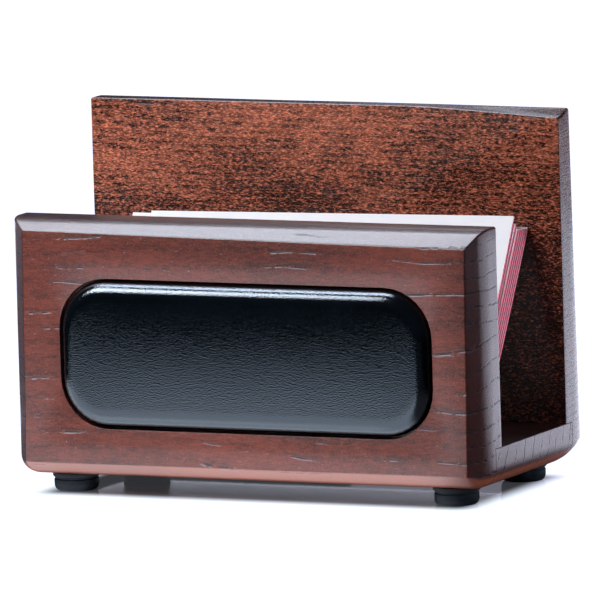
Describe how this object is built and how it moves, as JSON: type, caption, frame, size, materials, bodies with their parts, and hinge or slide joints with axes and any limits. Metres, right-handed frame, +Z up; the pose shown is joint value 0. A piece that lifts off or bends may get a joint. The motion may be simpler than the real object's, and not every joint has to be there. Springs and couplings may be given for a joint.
{
  "type": "desktop business card holder",
  "caption": "Desktop card holder: low front wall with a padded leather panel, tall rear wall, base board on rubber feet, and a stack of cards leaning in the slot.",
  "frame": {"origin": "on the surface the holder stands on, under the middle of its whole outline", "axes": "+X to the holder's right seen from the front, +Y to the back, towards the tall rear wall, +Z up"},
  "size_m": [0.11, 0.057, 0.08],
  "materials": {
    "stained_wood": "satin",
    "dowel_wood": "matte",
    "black_leather": "satin",
    "pad_foam": "matte",
    "greyboard": "matte",
    "black_rubber": "matte",
    "foam_tape": "matte",
    "card_stock": "matte"
  },
  "bodies": {
    "holder": {"front_wall": "stained_wood", "rear_wall": "stained_wood", "base_board": "stained_wood", "dowel_front_left": "dowel_wood", "dowel_front_right": "dowel_wood", "dowel_rear_left": "dowel_wood", "dowel_rear_right": "dowel_wood", "pad_leather_cover": "black_leather", "pad_foam": "pad_foam", "pad_backing_board": "greyboard", "foot_front_left": "black_rubber", "foot_front_right": "black_rubber", "foot_rear_left": "black_rubber", "foot_rear_right": "black_rubber", "foot_tape_front_left": "foam_tape", "foot_tape_front_right": "foam_tape", "foot_tape_rear_left": "foam_tape", "foot_tape_rear_right": "foam_tape"},
    "card_stack": {"card_2": "card_stock", "card_3": "card_stock", "card_4": "card_stock", "card_5": "card_stock", "card_6": "card_stock", "card_7": "card_stock", "card_8": "card_stock"},
    "front_card": {"card_1": "card_stock"}
  },
  "joints": [
    {"name": "card_stack_lift", "type": "slide", "parent": "holder", "child": "card_stack", "axis": [0, 0, 1], "range_m": [0, 0.07]},
    {"name": "front_card_lift", "type": "slide", "parent": "card_stack", "child": "front_card", "axis": [0, 0, 1], "range_m": [0, 0.07]}
  ]
}
